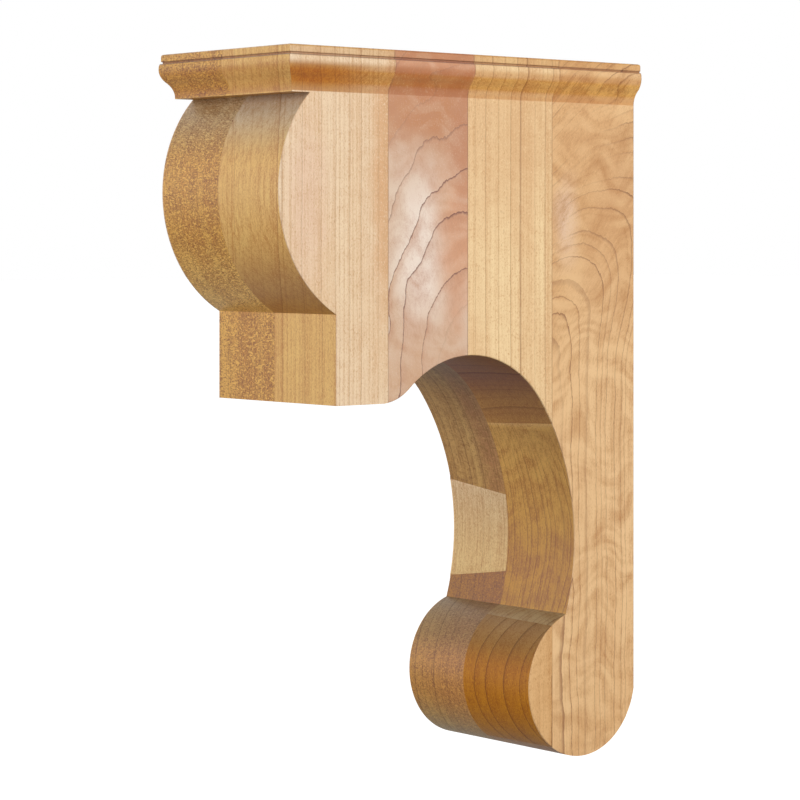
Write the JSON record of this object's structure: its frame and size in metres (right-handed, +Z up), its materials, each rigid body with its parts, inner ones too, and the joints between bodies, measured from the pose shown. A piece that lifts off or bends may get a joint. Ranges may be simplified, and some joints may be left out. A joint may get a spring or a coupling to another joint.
{
  "type": "wooden corbel bracket",
  "caption": "Wooden corbel bracket with a cap moulding, a big scroll, a drop block, a sweeping arch and a small scroll at the foot.",
  "frame": {"origin": "middle of the flat back, 150 mm below the top, at the wall mount", "axes": "+Y into the wall, +Z up, +X to the right-hand side seen from the front"},
  "size_m": [0.1, 0.2243, 0.3402],
  "materials": {
    "cream_maple": "clear satin lacquer",
    "pink_maple": "clear satin lacquer",
    "honey_maple": "clear satin lacquer",
    "gold_maple": "clear satin lacquer",
    "brown_maple": "clear satin lacquer",
    "amber_maple": "clear satin lacquer"
  },
  "bodies": {
    "root": {"right_front_stave": "cream_maple", "right_second_stave": "pink_maple", "right_third_stave": "honey_maple", "right_back_stave": "gold_maple", "right_scroll_front": "amber_maple", "left_front_stave": "brown_maple", "left_second_stave": "gold_maple", "left_third_stave": "brown_maple", "left_back_stave": "honey_maple", "left_scroll_front": "brown_maple"}
  },
  "joints": []
}
